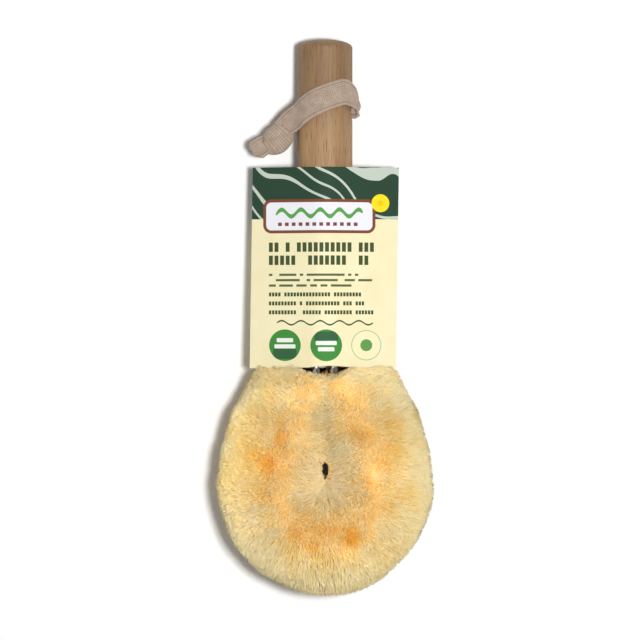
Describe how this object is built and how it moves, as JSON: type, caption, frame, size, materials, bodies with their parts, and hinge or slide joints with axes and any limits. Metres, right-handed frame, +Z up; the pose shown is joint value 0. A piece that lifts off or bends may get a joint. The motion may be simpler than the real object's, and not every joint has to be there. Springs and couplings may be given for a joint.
{
  "type": "pan brush",
  "caption": "Round plant-fibre pan brush: fibres gripped in a looped twisted wire, on a wooden dowel handle with a cotton tape loop and a card sleeve.",
  "frame": {"origin": "middle of the bounding box's base, on the surface that the brush lies on", "axes": "+Y along the brush, from the head towards the handle's free end; +X across the head; +Z up, out of the head's face"},
  "size_m": [0.0936, 0.2415, 0.0579],
  "materials": {
    "wood": "matte",
    "wire": "satin",
    "fibre": "matte",
    "tape": "matte",
    "card": "matte"
  },
  "bodies": {
    "brush": {"handle": "wood", "wire_strand_1": "wire", "wire_strand_2": "wire", "fibre_section_01": "fibre", "fibre_section_02": "fibre", "fibre_section_03": "fibre", "fibre_section_04": "fibre", "fibre_section_05": "fibre", "fibre_section_06": "fibre", "fibre_section_07": "fibre", "fibre_section_08": "fibre", "fibre_section_09": "fibre", "fibre_section_10": "fibre", "fibre_section_11": "fibre", "fibre_section_12": "fibre", "strap_wrap": "tape", "strap_upper_run": "tape", "strap_lower_run": "tape"},
    "card": {"card_sleeve": "card"},
    "strap_end": {"strap_knot": "tape"}
  },
  "joints": [
    {"name": "card_slide", "type": "slide", "parent": "brush", "child": "card", "axis": [0, 0.9954, -0.0957], "range_m": [0, 0.003]},
    {"name": "strap_swing", "type": "hinge", "parent": "brush", "child": "strap_end", "pos_m": [-0.012, 0.08907, 0.01687], "axis": [0, 0.9954, -0.0957], "range_deg": [-20, 40], "deforming": ["strap_upper_run", "strap_lower_run"]}
  ]
}
